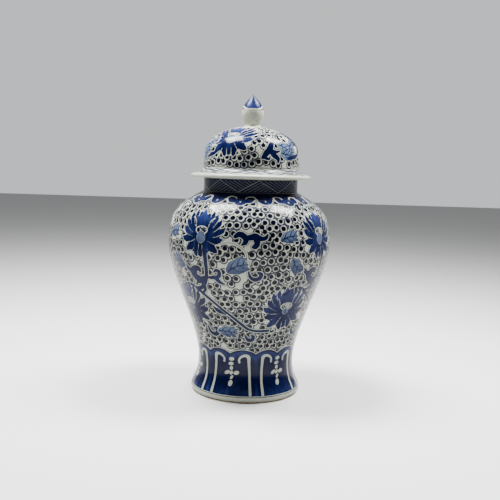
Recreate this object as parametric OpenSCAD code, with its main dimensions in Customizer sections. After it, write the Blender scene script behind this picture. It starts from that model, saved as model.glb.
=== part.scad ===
// Covered ginger jar of baluster shape, thrown in sections that are luted together, with a lift-off lid.
// Millimetres, +Z up. The origin is the centre of the resting face of the foot ring.

/* [Heights above the table] */
// Depth of the hollow under the base
recess_h = 9; // [6:0.5:11]
// Height of the widest part of the flared foot
foot_h = 7; // [5:0.5:9]
// Height of the narrow waist, where foot and lower body are luted
waist_h = 50; // [46:1:58]
// Height of the widest part of the belly, where the two halves are luted
belly_h = 229; // [215:1:240]
// Height where the upper body ends and the neck stands up
neck_h = 313; // [311:0.5:316]
// Height of the rim, where the lid rests
rim_h = 331; // [328:0.5:336]

/* [Outside diameters] */
// Resting face of the foot ring
rest_d = 164; // [158:1:166]
// Widest part of the flared foot
foot_d = 170; // [168:1:176]
// Waist
waist_d = 148; // [144:1:152]
// Widest part of the belly
belly_d = 249; // [240:1:256]
// Neck
neck_d = 144; // [140:1:148]
// Brim of the lid
brim_d = 184; // [180:1:190]
// Dome of the lid
dome_d = 147; // [142:1:149]
// Finial stem
stem_d = 28; // [24:1:30]
// Finial bud
bud_d = 34; // [32:1:38]

/* [Fullness of the curves] */
// How far the waist stays upright before the belly swells
waist_pull = 52; // [40:1:60]
// How far below its widest part the belly stays upright
belly_drop = 43.5; // [36:0.5:60]
// How far above its widest part the belly stays upright
shoulder_rise = 48; // [40:1:54]
// How far out the flat of the shoulder runs before it rounds over
shoulder_reach = 34; // [28:1:38]
// How much the flat of the shoulder falls over that reach
shoulder_fall = 18; // [12:1:22]
// Width of the small hollow between shoulder and neck
root_w = 5; // [4:0.5:8]

/* [Clay] */
// Wall of the body
wall = 7; // [5:0.5:8]
// Wall of the lid
lid_wall = 6; // [4:0.5:7]
// Floor of the jar
floor_t = 9; // [7:0.5:10]
// Width of the foot ring's resting face
ring_w = 9; // [7:0.5:11]
// Gap between the locating collar and the inside of the neck
collar_gap = 2.5; // [1.5:0.5:4]
// Depth of the locating collar below the rim
collar_h = 13; // [8:1:15]
// Thickness of the locating collar
collar_t = 6; // [4:0.5:8]

/* [Lid heights above the rim] */
// Thickness of the brim's edge
brim_t = 5; // [4:0.5:6]
// Foot of the dome, where the brim sweeps up into it
sweep_h = 15; // [12:1:17]
// Top of the dome's upright side
side_h = 43; // [38:1:46]
// Crown of the dome
crown_h = 77; // [74:0.5:80]
// Length of the finial stem
stem_h = 5; // [4:0.5:7]
// Length of the finial bud
bud_h = 44; // [40:1:50]

/* [Hidden] */

$fn = 96;
glaze = "#e8eae4";
cobalt = "#2b3560";
ease = 1.5;
foot_r = foot_d / 2;
waist_r = waist_d / 2;
belly_r = belly_d / 2;
neck_r = neck_d / 2;
root_r = neck_r + root_w;
root_z = neck_h - 5;
rest_r = rest_d / 2;
brim_r = brim_d / 2;
dome_r = dome_d / 2;
side_r = dome_r - 2.5;
collar_r = neck_r - wall - collar_gap;
stem_r = stem_d / 2;
stem_z = rim_h + crown_h;
bud_r = bud_d / 2;
bud_z = stem_z + stem_h;
bud_wide_z = bud_z + bud_h * 0.39;
tip_z = bud_z + bud_h;

// Points of the cubic curve from a to d that leaves a towards b and reaches d from c
function curve(a, b, c, d, steps) =
    [for (i = [0 : steps]) let (t = i / steps, u = 1 - t)
        u * u * u * a + 3 * u * u * t * b + 3 * u * t * t * c + t * t * t * d];

// All points but the first, for joining a curve to the one that ends where it begins
function tail(points) = [for (i = [1 : len(points) - 1]) points[i]];

function backwards(points) = [for (i = [len(points) - 1 : -1 : 0]) points[i]];

// An outline that runs upwards, moved by t towards the axis
function inside(points, t) =
    [for (i = [0 : len(points) - 1])
        let (before = points[max(i - 1, 0)],
             after = points[min(i + 1, len(points) - 1)],
             along = (after - before) / norm(after - before))
        points[i] + t * [-along[1], along[0]]];

// The same points with the two ends put level at heights low and high, so that luted faces meet flat
function levelled(points, low, high) =
    [for (i = [0 : len(points) - 1])
        i == 0 ? [points[i][0], low] : i == len(points) - 1 ? [points[i][0], high] : points[i]];

skirt = curve([foot_r, foot_h], [foot_r - 2, foot_h + 13],
              [waist_r, waist_h - 26], [waist_r, waist_h], 14);
lower_belly = curve([waist_r, waist_h], [waist_r, waist_h + waist_pull],
                    [belly_r, belly_h - belly_drop], [belly_r, belly_h], 22);
shoulder = curve([belly_r, belly_h], [belly_r, belly_h + shoulder_rise],
                 [root_r + shoulder_reach, root_z - shoulder_fall], [root_r, root_z], 22);
root = curve([root_r, root_z], [root_r - root_w / 2, root_z + 1.6],
             [neck_r, neck_h - 3], [neck_r, neck_h], 5);
sweep = curve([brim_r - 1, rim_h + brim_t], [dome_r + 10, rim_h + brim_t + 1.5],
              [dome_r, rim_h + sweep_h - 4], [dome_r, rim_h + sweep_h], 8);
side = curve([dome_r, rim_h + sweep_h], [dome_r, rim_h + sweep_h + 9],
             [side_r + 1.5, rim_h + side_h - 9], [side_r, rim_h + side_h], 6);
crown = curve([side_r, rim_h + side_h], [side_r - 4, rim_h + side_h + 21],
              [stem_r + 22, rim_h + crown_h - 1], [stem_r, rim_h + crown_h], 16);

// Wall of even thickness under an outline, with flat luting faces at the heights low and high
module section(outline, thickness, low, high) {
    lining = levelled(inside(outline, thickness), low, high);
    rotate_extrude() polygon(concat(outline, backwards(lining)));
}

// Flared foot with the ring it stands on, the hollowed underside and the floor of the jar
module jar_foot() {
    floor_z = recess_h + floor_t;
    cove = 8;
    lining = [for (p = levelled(inside(skirt, wall), foot_h, waist_h)) if (p[1] > floor_z + cove) p];
    underside = [[0, recess_h + 2], [rest_r - ring_w - 12, recess_h],
                 [rest_r - ring_w - 2, recess_h - 2], [rest_r - ring_w, 0]];
    edge = [[rest_r - ease, 0], [rest_r, ease], [foot_r - 0.5, foot_h - 3]];
    floor_top = [[lining[0][0] - cove / 2, floor_z + 2], [lining[0][0] - 2 * cove, floor_z], [0, floor_z - 1]];
    color(cobalt) rotate_extrude()
        polygon(concat(underside, edge, skirt, backwards(lining), floor_top));
}

// Lower half of the belly
module jar_lower_body() {
    color(glaze) section(lower_belly, wall, waist_h, belly_h);
}

// Upper half of the belly, with the shoulder
module jar_upper_body() {
    color(glaze) section(concat(shoulder, tail(root)), wall, belly_h, neck_h);
}

// Short upright neck, with a flat rim that carries the lid
module jar_neck() {
    color(cobalt) rotate_extrude() polygon([
        [neck_r - wall, neck_h], [neck_r, neck_h], [neck_r, rim_h - ease], [neck_r - ease, rim_h],
        [neck_r - wall + ease, rim_h], [neck_r - wall, rim_h - ease]]);
}

// Wide brim that rests on the rim and sweeps up to the foot of the dome
module lid_brim() {
    underside = [[dome_r - lid_wall, rim_h], [brim_r - ease, rim_h], [brim_r, rim_h + ease],
                 [brim_r, rim_h + brim_t - ease]];
    color(glaze) rotate_extrude()
        polygon(concat(underside, sweep, [[dome_r - lid_wall, rim_h + sweep_h]]));
}

// Dome of the lid, hollow under the crown
module lid_dome() {
    over = concat(side, tail(crown));
    lining = levelled(inside(over, lid_wall), rim_h + sweep_h, rim_h + crown_h - lid_wall);
    middle = [[0, rim_h + crown_h], [0, rim_h + crown_h - lid_wall]];
    color(glaze) rotate_extrude() polygon(concat(over, middle, backwards(lining)));
}

// Ring under the lid that drops inside the neck and keeps the lid centred
module lid_collar() {
    color(glaze) rotate_extrude() polygon([
        [collar_r - collar_t, rim_h], [collar_r - collar_t + 1, rim_h - collar_h + ease],
        [collar_r - collar_t + 2, rim_h - collar_h], [collar_r - ease, rim_h - collar_h],
        [collar_r, rim_h - collar_h + ease], [collar_r, rim_h]]);
}

// Short waisted stem between the crown and the bud
module finial_stem() {
    pinch = 2.5;
    profile = curve([stem_r, stem_z], [stem_r - pinch, stem_z + 1],
                    [stem_r - pinch, bud_z - 1], [stem_r - ease, bud_z], 8);
    color(glaze) rotate_extrude() polygon(concat([[0, stem_z]], profile, [[0, bud_z]]));
}

// Lotus bud: a round bowl that closes to a point
module finial_bud() {
    bowl = curve([stem_r - ease, bud_z], [stem_r, bud_z + 4.5],
                 [bud_r, bud_wide_z - 6], [bud_r, bud_wide_z], 8);
    tip = curve([bud_r, bud_wide_z], [bud_r, bud_wide_z + 9], [bud_r / 2, tip_z - 8.5], [0, tip_z], 12);
    color(cobalt) rotate_extrude() polygon(concat([[0, bud_z]], bowl, tail(tip)));
}

jar_foot();
jar_lower_body();
jar_upper_body();
jar_neck();
lid_brim();
lid_collar();
lid_dome();
finial_stem();
finial_bud();
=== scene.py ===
"""Covered ginger jar in blue-and-white porcelain: its thrown sections, its painting and its glaze."""
import logging
import math
from dataclasses import dataclass, field
from enum import Enum

import bpy
import numpy as np
from mathutils import Matrix, Vector


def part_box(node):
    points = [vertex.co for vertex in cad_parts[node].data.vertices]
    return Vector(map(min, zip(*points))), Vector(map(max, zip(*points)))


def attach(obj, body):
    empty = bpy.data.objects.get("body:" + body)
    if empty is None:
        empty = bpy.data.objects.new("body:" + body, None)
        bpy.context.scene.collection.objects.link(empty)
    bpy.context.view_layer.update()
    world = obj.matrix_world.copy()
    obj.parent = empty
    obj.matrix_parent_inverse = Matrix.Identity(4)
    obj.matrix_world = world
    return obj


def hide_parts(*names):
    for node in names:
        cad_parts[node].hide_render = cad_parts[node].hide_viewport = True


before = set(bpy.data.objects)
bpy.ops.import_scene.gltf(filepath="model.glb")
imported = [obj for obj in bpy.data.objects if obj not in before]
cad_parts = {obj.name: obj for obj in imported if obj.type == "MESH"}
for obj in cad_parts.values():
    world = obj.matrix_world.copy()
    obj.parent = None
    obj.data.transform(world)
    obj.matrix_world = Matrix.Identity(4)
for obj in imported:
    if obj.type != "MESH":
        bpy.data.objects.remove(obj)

log = logging.getLogger("ginger_jar")
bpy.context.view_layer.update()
MM = 0.001
FAR = 40.0
DEEP = 4.0
RING = 4.3
NO_RING = 9.0
IRON = (0.20, 0.15, 0.10, 1.0)
Grid = np.ndarray


# ---------------------------------------------------------------- outlines

def cubic(start: tuple, leave: tuple, arrive: tuple, end: tuple, steps: int = 60) -> Grid:
    """Points of the cubic curve from start to end.

    Args:
        start, end: first and last point, as (radius, height) in mm.
        leave, arrive: the points that the curve leaves towards and arrives from.
        steps: how many pieces the curve is cut into.

    Returns:
        An array of (radius, height) rows.
    """
    t = np.linspace(0.0, 1.0, steps + 1)[:, None]
    u = 1.0 - t
    a, b, c, d = (np.array(p, float) for p in (start, leave, arrive, end))
    return u ** 3 * a + 3 * u * u * t * b + 3 * u * t * t * c + t ** 3 * d


def joined(*stretches: Grid) -> Grid:
    """One outline from stretches that meet end to start, with each shared point kept once.

    Args:
        stretches: outlines as (radius, height) rows, in order.

    Returns:
        The joined outline.
    """
    points = np.vstack([np.atleast_2d(np.array(stretch, float)) for stretch in stretches])
    keep = np.concatenate([[True], np.hypot(*np.diff(points, axis=0).T) > 1e-4])
    return points[keep]


def run_along(points: Grid) -> Grid:
    """Distance travelled along an outline of (radius, height) rows, at each of its points."""
    return np.concatenate([[0.0], np.cumsum(np.hypot(*np.diff(points, axis=0).T))])


def respaced(points: Grid, step: float) -> Grid:
    """The same outline with evenly spaced points, and its ends kept.

    Args:
        points: the outline, as (radius, height) rows.
        step: the distance wanted between points in mm.

    Returns:
        The outline with its new points.
    """
    run = run_along(points)
    count = max(int(round(run[-1] / step)), 1)
    at = np.linspace(0.0, run[-1], count + 1)
    return np.stack([np.interp(at, run, points[:, k]) for k in (0, 1)], axis=1)


def inset(points: Grid, depth: float) -> Grid:
    """An upward outline moved towards the axis, with its two ends kept at their heights.

    Args:
        points: the outline, as (radius, height) rows.
        depth: how far it moves in mm.

    Returns:
        The moved outline.
    """
    along = np.gradient(points, axis=0)
    along /= np.hypot(along[:, 0], along[:, 1])[:, None]
    moved = points + depth * np.stack([-along[:, 1], along[:, 0]], axis=1)
    moved[0, 1], moved[-1, 1] = points[0, 1], points[-1, 1]
    return moved


@dataclass(frozen=True)
class JarShape:
    """Outline of the jar in mm, from the foot ring up to the rim."""

    foot_top: float
    belly_z: float
    neck_z: float
    rim_z: float
    rest_r: float = 82.0
    foot_r: float = 85.0
    foot_z: float = 7.0
    waist_r: float = 74.0
    belly_r: float = 124.5
    neck_r: float = 72.0
    root_w: float = 5.0
    wall: float = 7.0
    ring_w: float = 9.0
    recess: float = 9.0
    floor_t: float = 9.0
    ease: float = 1.5

    def foot_edge(self) -> Grid:
        """Rounded edge of the foot, from the resting face to its widest part."""
        return cubic((self.rest_r, self.ease), (self.rest_r + 1.6, 2.5), (self.foot_r, 4.0),
                     (self.foot_r, self.foot_z), 12)

    def skirt(self) -> Grid:
        """Flared foot, from its widest part in to the waist."""
        return cubic((self.foot_r, self.foot_z), (self.foot_r - 2, self.foot_z + 13),
                     (self.waist_r, self.foot_top - 26), (self.waist_r, self.foot_top))

    def lower_belly(self) -> Grid:
        """Waist to the widest part of the belly."""
        return cubic((self.waist_r, self.foot_top), (self.waist_r, self.foot_top + 52),
                     (self.belly_r, self.belly_z - 43.5), (self.belly_r, self.belly_z), 120)

    def shoulder(self) -> Grid:
        """Widest part over the shoulder and up into the root of the neck.

        Returns:
            The outline, as (radius, height) rows in mm.
        """
        root_r, root_z = self.neck_r + self.root_w, self.neck_z - 5
        over = cubic((self.belly_r, self.belly_z), (self.belly_r, self.belly_z + 48),
                     (root_r + 34, root_z - 18), (root_r, root_z), 100)
        root = cubic((root_r, root_z), (root_r - self.root_w / 2, root_z + 1.6),
                     (self.neck_r, self.neck_z - 3), (self.neck_r, self.neck_z), 16)
        return joined(over, root)

    def neck(self) -> Grid:
        """Upright neck up to the eased edge of the rim."""
        return np.array([(self.neck_r, self.neck_z), (self.neck_r, self.rim_z - self.ease)], float)


@dataclass(frozen=True)
class LidShape:
    """Outline of the lid in mm, from the edge of the brim to the tip of the bud."""

    rim_z: float
    dome_z: float
    stem_z: float
    bud_z: float
    tip_z: float
    brim_r: float = 92.0
    brim_t: float = 5.0
    dome_r: float = 73.5
    side_h: float = 43.0
    stem_r: float = 14.0
    bud_r: float = 17.0
    wall: float = 6.0
    collar_r: float = 62.5
    collar_t: float = 6.0
    collar_h: float = 13.0
    ease: float = 1.5

    def brim_top(self) -> Grid:
        """Rounded edge of the brim and its sweep up to the foot of the dome.

        Returns:
            The outline, as (radius, height) rows in mm.
        """
        low, high = self.rim_z, self.rim_z + self.brim_t
        edge = cubic((self.brim_r - self.ease, low), (self.brim_r + 0.25, low + 0.2),
                     (self.brim_r + 0.25, high - 0.4), (self.brim_r - 1.6, high), 14)
        sweep = cubic((self.brim_r - 1.6, high), (self.dome_r + 10, high + 1.4),
                      (self.dome_r, self.dome_z - 4), (self.dome_r, self.dome_z), 40)
        return joined(edge, sweep)

    def dome(self) -> Grid:
        """Side of the dome, rounding over into the crown.

        Returns:
            The outline, as (radius, height) rows in mm.
        """
        side_r, side_z = self.dome_r - 2.5, self.rim_z + self.side_h
        side = cubic((self.dome_r, self.dome_z), (self.dome_r, self.dome_z + 9),
                     (side_r + 1.5, side_z - 9), (side_r, side_z), 40)
        crown = cubic((side_r, side_z), (side_r - 4, side_z + 21),
                      (self.stem_r + 22, self.stem_z - 1), (self.stem_r, self.stem_z), 80)
        return joined(side, crown)

    def stem(self) -> Grid:
        """Waisted stem under the bud."""
        return cubic((self.stem_r, self.stem_z), (self.stem_r - 2.5, self.stem_z + 1),
                     (self.stem_r - 2.5, self.bud_z - 1), (self.stem_r - self.ease, self.bud_z), 14)

    def bud(self) -> Grid:
        """Bowl of the lotus bud, closing to its point.

        Returns:
            The outline, as (radius, height) rows in mm.
        """
        wide = self.bud_z + (self.tip_z - self.bud_z) * 0.39
        bowl = cubic((self.stem_r - self.ease, self.bud_z), (self.stem_r, self.bud_z + 4.5),
                     (self.bud_r, wide - 6), (self.bud_r, wide), 30)
        tip = cubic((self.bud_r, wide), (self.bud_r, wide + 9), (self.bud_r / 2, self.tip_z - 8.5),
                    (0.0, self.tip_z), 40)
        return joined(bowl, tip)


# ---------------------------------------------------------------- brushwork

class Coat(Enum):
    """What the painter lays on the clay, from the ground up."""

    WASH = "wash"
    INK = "ink"
    RESERVE = "reserve"
    LINE = "line"


def flowing(points: list, per_span: int = 6) -> Grid:
    """A smooth path through given points.

    Args:
        points: the places that it passes through.
        per_span: how many points it gets between each two of them.

    Returns:
        The path, as rows of the same width as the points.
    """
    p = np.array(points, float)
    ends = np.vstack([2 * p[0] - p[1], p, 2 * p[-1] - p[-2]])
    t = np.arange(per_span)[:, None] / per_span
    spans = []
    for a, b, c, d in zip(ends[:-3], ends[1:-2], ends[2:-1], ends[3:]):
        spans.append(0.5 * (2 * b + (c - a) * t + (2 * a - 5 * b + 4 * c - d) * t ** 2
                            + (3 * b - a - 3 * c + d) * t ** 3))
    return np.vstack(spans + [p[-1:]])


def turned(points: Grid, degrees: float) -> Grid:
    """Points turned about the origin.

    Args:
        points: (x, y) rows.
        degrees: the turn, anticlockwise.

    Returns:
        The turned rows.
    """
    c, s = math.cos(math.radians(degrees)), math.sin(math.radians(degrees))
    x, y = points[:, 0], points[:, 1]
    return np.stack([c * x - s * y, s * x + c * y], axis=1)


def moved(points: tuple, turn: float) -> list:
    """Given (angle, height) points moved round the jar by a turn in degrees."""
    return [(angle + turn, height) for angle, height in points]


@dataclass
class Patch:
    """A window on a canvas, with every point's place in mm from the window's own middle."""

    canvas: "Canvas"
    cell: tuple
    x: Grid
    y: Grid

    def lay(self, coat: Coat, inside: Grid, shade: float | Grid | None = None) -> None:
        """Adds a shape to a coat.

        Args:
            coat: the coat that takes it.
            inside: depth inside the shape in mm, negative outside it.
            shade: how thin the paint is there, 0 for full strength and 1 for the palest; below 0 it is
                painted shade, which turns the ink to slate and dims the white.
        """
        layer = self.canvas.coats[coat]
        layer[self.cell] = np.maximum(layer[self.cell], inside)
        if shade is not None:
            here = self.canvas.shade[self.cell]
            self.canvas.shade[self.cell] = np.where(inside > -0.6, shade, here)

    def lift(self, coat: Coat, inside: Grid) -> None:
        """Takes a shape, given as the depth inside it in mm, out of a coat."""
        layer = self.canvas.coats[coat]
        layer[self.cell] = np.minimum(layer[self.cell], -inside)

    def stroke(self, path: Grid, widths: Grid, per_degree: bool = False) -> Grid:
        """Depth inside a brush stroke.

        Args:
            path: points of the stroke in mm, or in degrees and mm if per_degree is true.
            widths: half the stroke's width at each point, in mm.
            per_degree: whether the path's first column is an angle.

        Returns:
            Depth in mm at every point of the window, negative outside the stroke.
        """
        depth = np.full(self.x.shape, -FAR)
        scale = self.canvas.mm_per_degree[self.cell[0][:, 0]] if per_degree else 1.0
        for (x0, y0), (x1, y1), w0, w1 in zip(path[:-1], path[1:], widths[:-1], widths[1:]):
            ax, bx = x0 * scale, x1 * scale
            dx, dy = bx - ax, y1 - y0
            along = ((self.x - ax) * dx + (self.y - y0) * dy) / np.maximum(dx * dx + dy * dy, 1e-9)
            along = np.clip(along, 0.0, 1.0)
            away = np.hypot(self.x - ax - along * dx, self.y - y0 - along * dy)
            depth = np.maximum(depth, w0 + along * (w1 - w0) - away)
        return depth

    def oval(self, x: float, y: float, half_w: float, half_h: float, tilt: float = 0.0) -> Grid:
        """Depth inside an oval.

        Args:
            x, y: its centre in mm.
            half_w, half_h: half its width and height in mm.
            tilt: how far it is turned, in degrees.

        Returns:
            Depth in mm at every point of the window, negative outside the oval.
        """
        c, s = math.cos(math.radians(tilt)), math.sin(math.radians(tilt))
        dx, dy = self.x - x, self.y - y
        reach = np.hypot((c * dx + s * dy) / half_w, (c * dy - s * dx) / half_h)
        return (1.0 - reach) * min(half_w, half_h)


class Canvas:
    """The painted skin of the jar or of its lid, as a grid of rows up the outline and columns round it."""

    def __init__(self, outline: Grid, columns: int) -> None:
        """Lays a bare canvas over an outline.

        Args:
            outline: (radius, height) rows in mm, from the bottom up.
            columns: how many points there are round the jar.
        """
        self.outline = outline
        self.columns = columns
        self.radius, self.height = outline[:, 0], outline[:, 1]
        self.run = run_along(outline)
        self.angle = np.arange(columns) * 360.0 / columns
        self.mm_per_degree = (self.radius * math.pi / 180.0)[:, None]
        size = (len(outline), columns)
        self.coats = {coat: np.full(size, -FAR) for coat in Coat}
        self.shade = np.zeros(size)
        self.spawn = np.full(size, NO_RING)
        self.eye = np.full(size, NO_RING)

    def run_at(self, height: float) -> float:
        """Distance along the outline at a height, both in mm."""
        return float(np.interp(height, self.height, self.run))

    def radius_at(self, height: float) -> float:
        """Radius of the outline at a height, both in mm."""
        return float(np.interp(height, self.height, self.radius))

    def window(self, angle: float, height: float, reach: float, rise: float | None = None) -> Patch | None:
        """The part of the canvas within reach of a point.

        Args:
            angle: where the middle is, in degrees to the right of the front.
            height: its height in mm.
            reach: how far the window goes to each side in mm.
            rise: how far it goes up and down, if that isn't the same.

        Returns:
            The window, or None where no row of the canvas is near enough.
        """
        middle = self.run_at(height)
        rows = np.flatnonzero(np.abs(self.run - middle) <= (rise or reach))
        if not len(rows):
            return None
        widest = min(reach / max(self.mm_per_degree[rows].min(), 1e-3), 180.0)
        offset = (self.angle - angle + 180.0) % 360.0 - 180.0
        cols = np.flatnonzero(np.abs(offset) <= widest)
        x = offset[cols][None, :] * self.mm_per_degree[rows]
        y = np.repeat((self.run[rows] - middle)[:, None], len(cols), axis=1)
        return Patch(self, (rows[:, None], cols[None, :]), x, y)

    def whole(self) -> Patch:
        """The whole canvas, with x as the angle's arc from the front and y as the run.

        Returns:
            A window over all of it.
        """
        offset = (self.angle + 180.0) % 360.0 - 180.0
        rows, cols = np.arange(len(self.run)), np.arange(self.columns)
        x = offset[None, :] * self.mm_per_degree
        y = np.repeat(self.run[:, None], self.columns, axis=1)
        return Patch(self, (rows[:, None], cols[None, :]), x, y)

    def trail(self, coat: Coat, points: list, widths: list, shade: float | None = None) -> None:
        """Draws one long smooth stroke.

        Args:
            coat: the coat that takes it.
            points: (angle in degrees, height in mm) places that it passes through.
            widths: half widths in mm, spread evenly along it.
            shade: how thin the paint is.
        """
        path = flowing(points)
        half = np.interp(np.linspace(0, 1, len(path)), np.linspace(0, 1, len(widths)), widths)
        angle, height = path[:, 0].mean(), path[:, 1].mean()
        middle = self.run_at(height)
        runs = np.array([self.run_at(z) for z in path[:, 1]]) - middle
        wide = np.abs(path[:, 0] - angle).max() * self.radius_at(height) * 1.25 * math.pi / 180.0
        patch = self.window(angle, height, wide + 8.0, np.abs(runs).max() + 6.0)
        if patch is None:
            return
        local = np.stack([path[:, 0] - angle, runs], axis=1)
        patch.lay(coat, patch.stroke(local, half, per_degree=True), shade)

    def filled(self) -> Grid:
        """Depth in mm inside whatever is painted already, at every point and negative outside it."""
        solid = np.maximum(self.coats[Coat.WASH], self.coats[Coat.INK])
        return np.maximum(solid, self.coats[Coat.RESERVE])


@dataclass(frozen=True)
class Flower:
    """A full-blown flower with ragged curling petals round a rosette of white curls."""

    angle: float
    height: float
    reach: float = 34.0
    lean: float = 0.0
    seed: int = 1
    calyx: float = 1.0

    def finger(self, heading: float, length: float, hook: float, start: float = 0.0,
               curl: float = 2.8) -> Grid:
        """Path of one finger of a petal, which hooks sideways at its end.

        Args:
            heading: the direction in which it leaves, in degrees.
            length: its length in mm.
            hook: how far its end goes sideways, as a share of its length.
            start: the share of its length at which the path begins.
            curl: how late the hook comes, 1 for a straight slant.

        Returns:
            The path, as (x, y) rows in mm.
        """
        t = np.linspace(start, 1.0, 8)
        side = hook * length * t ** curl
        ahead = t * length * (1.0 - 0.35 * abs(hook) * t)
        return turned(np.stack([ahead, side], axis=1), heading + self.lean)

    def draw(self, canvas: Canvas) -> None:
        """Paints the flower: hooked fingers, the white gaps between them, then the crest and the heart.

        Args:
            canvas: the canvas that takes it.
        """
        patch = canvas.window(self.angle, self.height, self.reach * 1.3)
        if patch is None:
            return
        rng = np.random.default_rng(self.seed)
        r, t = self.reach, np.linspace(0.0, 1.0, 8)
        plump = np.interp(t, (0, 0.4, 0.72, 0.9, 1.0), (0.10, 0.17, 0.165, 0.100, 0.014)) * r
        patch.lay(Coat.INK, patch.oval(0, 0, r * 0.72, r * 0.70), 0.18)
        fingers = ((60, 1.00, 0.30), (42, 1.10, 0.44), (24, 1.12, 0.50), (6, 1.14, 0.50), (-12, 1.10, 0.46),
                   (-30, 1.08, 0.34), (-47, 1.06, 0.10), (-64, 1.04, -0.24), (-80, 0.94, -0.16))
        for mirror in (1, -1):
            for heading, share, hook in fingers:
                way = heading if mirror > 0 else 180 - heading
                length = r * share * float(rng.uniform(0.98, 1.10))
                tone = 0.02 + 0.30 * float(rng.random())
                patch.lay(Coat.INK, patch.stroke(self.finger(way, length, mirror * hook), plump), tone)
        for mirror in (1, -1):
            for (above, _, curl), (below, share, hook) in zip(fingers[:-1], fingers[1:]):
                heading = (above + below) / 2
                way = heading if mirror > 0 else 180 - heading
                length = r * share * float(rng.uniform(0.76, 0.88))
                filler = self.finger(way, length, mirror * (curl + hook) / 2)
                patch.lay(Coat.INK, patch.stroke(filler, plump * 0.9))
            for (above, _, curl), (below, share, hook) in zip(fingers[:-1], fingers[1:]):
                heading = (above + below) / 2
                way = heading if mirror > 0 else 180 - heading
                start = float(rng.choice((0.34, 0.44, 0.54, 0.64)))
                bow = mirror * ((curl + hook) / 2 + 0.10)
                gap = self.finger(way - mirror * 5, r * share * 1.02, bow, start, 2.2)
                patch.lay(Coat.RESERVE, patch.stroke(gap, np.linspace(0.26, 0.52, 8)))
        crest = np.interp(t, (0, 0.3, 0.55, 0.8, 1.0), (0.17, 0.25, 0.23, 0.12, 0.01)) * r
        tall = patch.stroke(self.finger(92, r * 1.16, 0.02), crest)
        for side in (1, -1):
            path = np.array([(0.10, 0.32), (0.20, 0.50), (0.29, 0.66), (0.40, 0.76)]) * r
            path[:, 0] *= side
            path = turned(path, self.lean)
            tall = np.maximum(tall, patch.stroke(path, np.array([0.16, 0.12, 0.07, 0.01]) * r))
        patch.lift(Coat.RESERVE, tall)
        # The crest pales towards its tip: partly a thinner wash, partly a painted highlight.
        patch.lay(Coat.INK, tall, 0.10 + 0.65 * np.clip(patch.y / r, 0.0, 1.0) ** 1.4)
        for mirror in (1, -1):
            path = np.array([(0.25, 0.16), (0.32, 0.34), (0.35, 0.50), (0.42, 0.63), (0.54, 0.70)]) * r
            path[:, 0] *= mirror
            path = turned(path, self.lean)
            patch.lay(Coat.RESERVE, patch.stroke(path, np.linspace(0.35, 0.62, 5)))
        calyx = patch.oval(0, -r * 0.12 * self.calyx, r * 0.20 * self.calyx, r * 0.23 * self.calyx)
        rosette = patch.oval(0, r * 0.17, r * 0.27, r * 0.16)
        heart = np.maximum(calyx, rosette) + 0.6
        patch.lift(Coat.INK, heart)
        patch.lift(Coat.RESERVE, heart)
        patch.lay(Coat.WASH, calyx, 0.65)
        for x, y, wide in ((-0.17, 0.13, 0.07), (-0.05, 0.20, 0.08), (0.08, 0.15, 0.08), (0.19, 0.20, 0.065)):
            patch.lay(Coat.LINE, 0.50 - np.abs(patch.oval(x * r, y * r, r * wide, r * wide) - 0.3))
        for x in (-0.11, -0.035, 0.04, 0.12):
            path = np.array([(x * r, 0.02 * r), (x * r * 0.7, -0.30 * r)]) * self.calyx
            patch.lay(Coat.LINE, patch.stroke(path, np.array([0.42, 0.32])))


@dataclass(frozen=True)
class Leaf:
    """A leaf in thin wash with a dark outline and veins."""

    angle: float
    height: float
    length: float
    width: float
    heading: float
    bend: float = 0.0
    lobes: float = 0.12
    pale: float = 0.35

    def draw(self, canvas: Canvas) -> None:
        """Paints the leaf.

        Args:
            canvas: the canvas that takes it.
        """
        patch = canvas.window(self.angle, self.height, self.length * 0.8)
        if patch is None:
            return
        t = np.linspace(0.0, 1.0, 17)
        spine = np.stack([(t - 0.5) * self.length, self.bend * np.sin(np.pi * t)], axis=1)
        spine = turned(spine, self.heading)
        half = self.width * 0.40 * np.sin(np.pi * t ** 0.85) ** 1.2
        half = half * (1.0 + self.lobes * np.sin(t * 6.2 * math.pi)) + 0.15
        blade = patch.stroke(spine, half)
        veins = [(spine[1:-1], np.linspace(0.95, 0.5, 15))]
        for k, reach, side in ((3, 0.62, 1), (5, 0.66, -1), (8, 0.68, 1), (10, 0.60, -1), (12, 0.46, 1)):
            lobe = np.array([(0.0, 0.0), (0.38, 0.52 * side), (0.95, 0.80 * side)]) * self.width * reach
            lobe = spine[k] + turned(lobe, self.heading)
            torn = np.array([0.26, 0.17, 0.01]) * self.width * (0.6 + 2.5 * self.lobes)
            blade = np.maximum(blade, patch.stroke(lobe, torn))
            veins.append((lobe, np.array([0.8, 0.65, 0.3])))
        patch.lift(Coat.INK, blade + 1.4)
        tone = self.pale + 0.5 * np.clip(patch.y / self.width + 0.4, 0.0, 1.0)
        patch.lay(Coat.WASH, blade, tone)
        for path, thick in veins:
            patch.lay(Coat.LINE, patch.stroke(path, thick))


@dataclass(frozen=True)
class Cloud:
    """A dark scroll of thick strokes with a curl at one end."""

    angle: float
    height: float
    path: tuple
    widths: tuple

    def draw(self, canvas: Canvas) -> None:
        """Paints the scroll, whose path is in mm from its own middle.

        Args:
            canvas: the canvas that takes it.
        """
        patch = canvas.window(self.angle, self.height, 34.0)
        if patch is None:
            return
        path = flowing(list(self.path), 5)
        half = np.interp(np.linspace(0, 1, len(path)), np.linspace(0, 1, len(self.widths)), self.widths)
        inside = patch.stroke(path, half)
        patch.lay(Coat.INK, inside, 0.0)


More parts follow.
